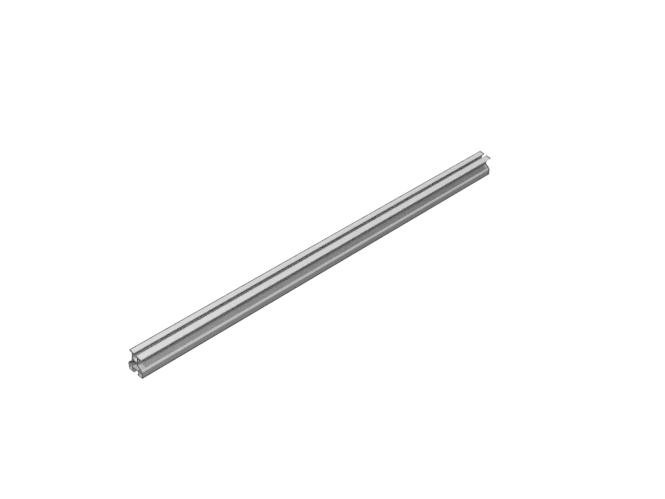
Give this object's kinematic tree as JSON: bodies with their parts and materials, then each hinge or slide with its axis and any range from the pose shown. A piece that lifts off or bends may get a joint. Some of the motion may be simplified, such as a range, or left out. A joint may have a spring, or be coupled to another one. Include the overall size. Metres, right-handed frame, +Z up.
{
  "type": "solar mounting rail",
  "caption": "Straight extruded aluminium rail for solar panels: a flared hollow body with a slotted foot channel, and a slotted head channel on top that leans 12 degrees to one side.",
  "frame": {"origin": "middle of the rail's underside, on the plane that it rests on", "axes": "+X along the rail, +Y across it towards the higher flange, +Z up"},
  "size_m": [1, 0.041, 0.0517],
  "materials": {
    "mill_aluminium": "mill finish, satin with fine die lines along the length"
  },
  "bodies": {
    "root": {"rail": "mill_aluminium"}
  },
  "joints": []
}
